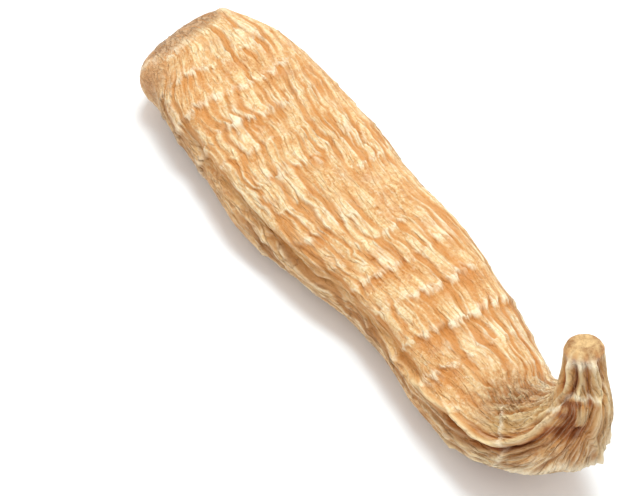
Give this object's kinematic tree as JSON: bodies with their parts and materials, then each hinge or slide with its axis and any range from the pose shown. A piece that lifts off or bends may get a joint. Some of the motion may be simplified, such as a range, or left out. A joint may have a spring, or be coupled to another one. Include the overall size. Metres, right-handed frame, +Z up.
{
  "type": "dried gastrodia tuber",
  "caption": "Dried, flattened, ribbed tuber lying on its belly, with faint bud rings, a blunt end and a hooked stem stub; a natural prop.",
  "frame": {"origin": "centre of the foot of the bounding box, on the surface that the tuber lies on", "axes": "+X along the body from the blunt end to the hooked end, +Y across the body towards the side that the stub leans to, +Z up"},
  "size_m": [0.12, 0.0316, 0.0312],
  "materials": {
    "tuber_skin": "dry, wrinkled, matte with a faint waxy sheen"
  },
  "bodies": {
    "root": {"tuber": "tuber_skin"}
  },
  "joints": []
}
